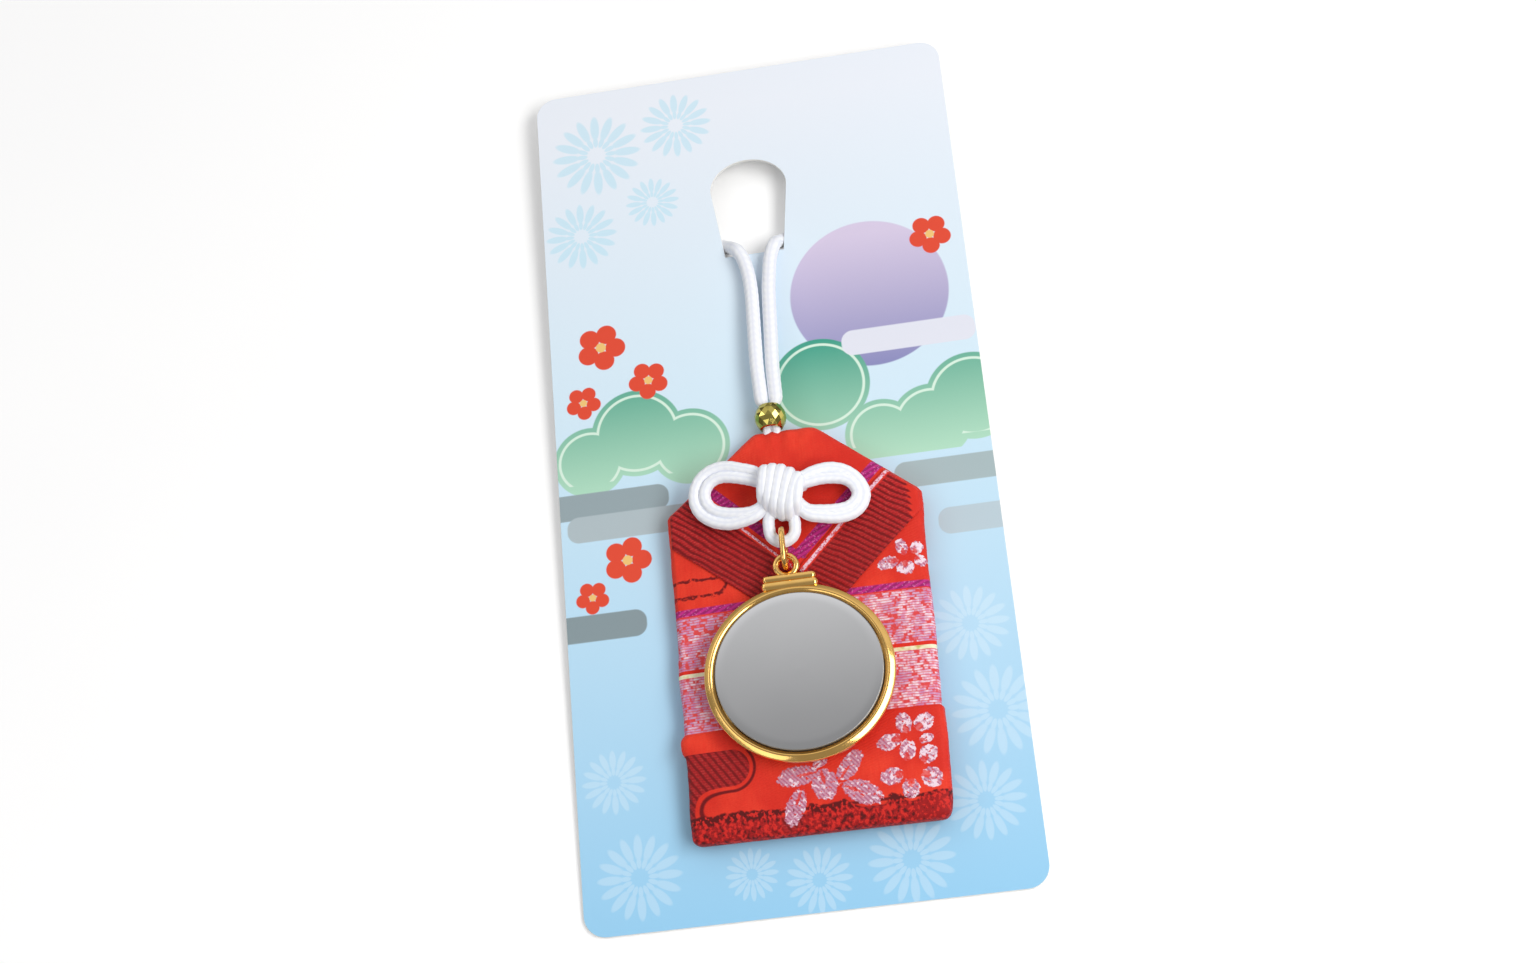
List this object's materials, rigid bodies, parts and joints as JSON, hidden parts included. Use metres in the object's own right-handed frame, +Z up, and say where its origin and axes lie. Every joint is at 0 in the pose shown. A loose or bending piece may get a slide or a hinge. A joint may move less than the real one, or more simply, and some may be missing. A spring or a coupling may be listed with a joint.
{
  "type": "omamori charm",
  "caption": "Flat brocade charm pouch tied with a white cord bow, with a bead and a round mirror pendant, looped through the keyhole of a display card.",
  "frame": {"origin": "on the table under the middle of the display card", "axes": "+X to the card's right, +Y towards its top edge, +Z up, out of the card's front"},
  "size_m": [0.07, 0.1446, 0.0117],
  "materials": {
    "card_print": "smooth printed paperboard",
    "cord_white": "braided",
    "bead_gilt": "polished, cut in facets",
    "brocade": "woven brocade",
    "brocade_ribbed": "ribbed brocade",
    "board": "grey paperboard",
    "paper": "paper",
    "thin_wood": "planed",
    "gilt": "polished",
    "pad": "foam",
    "mirror": "polished"
  },
  "bodies": {
    "card": {"display_card": "card_print", "cord_back_loop": "cord_white"},
    "charm": {"bag_pouch": "brocade", "collar_flap_left": "brocade_ribbed", "collar_flap_right": "brocade_ribbed", "stiffener_board": "board", "paper_wrapper": "paper", "prayer_slip": "thin_wood", "cord_leg_left": "cord_white", "cord_leg_right": "cord_white", "cord_neck_left": "cord_white", "cord_neck_right": "cord_white", "ear_left_outer": "cord_white", "ear_left_inner": "cord_white", "ear_right_outer": "cord_white", "ear_right_inner": "cord_white", "bow_knot": "cord_white", "knot_core": "cord_white", "drop_loop": "cord_white"},
    "bead": {"cord_bead": "bead_gilt"},
    "ring": {"jump_ring": "gilt"},
    "pendant": {"pendant_frame": "gilt", "mirror_disc": "mirror", "adhesive_pad": "pad"}
  },
  "joints": [
    {"name": "charm_lift", "type": "hinge", "parent": "card", "child": "charm", "pos_m": [0.0004, 0.03591, 0.00426], "axis": [-1, 0, 0], "range_deg": [0, 110], "deforming": ["cord_leg_left", "cord_leg_right"]},
    {"name": "bead_slide", "type": "slide", "parent": "charm", "child": "bead", "axis": [0, 0.9998, 0.0205], "range_m": [0, 0.016], "deforming": ["cord_leg_left", "cord_leg_right"]},
    {"name": "ring_swing", "type": "hinge", "parent": "charm", "child": "ring", "pos_m": [0.0012, -0.01628, 0.00805], "axis": [0, -0.0205, 0.9998], "range_deg": [-12, 12]},
    {"name": "pendant_lift", "type": "hinge", "parent": "ring", "child": "pendant", "pos_m": [0.0012, -0.01864, 0.0083], "axis": [-1, 0, 0], "range_deg": [0, 95]}
  ]
}
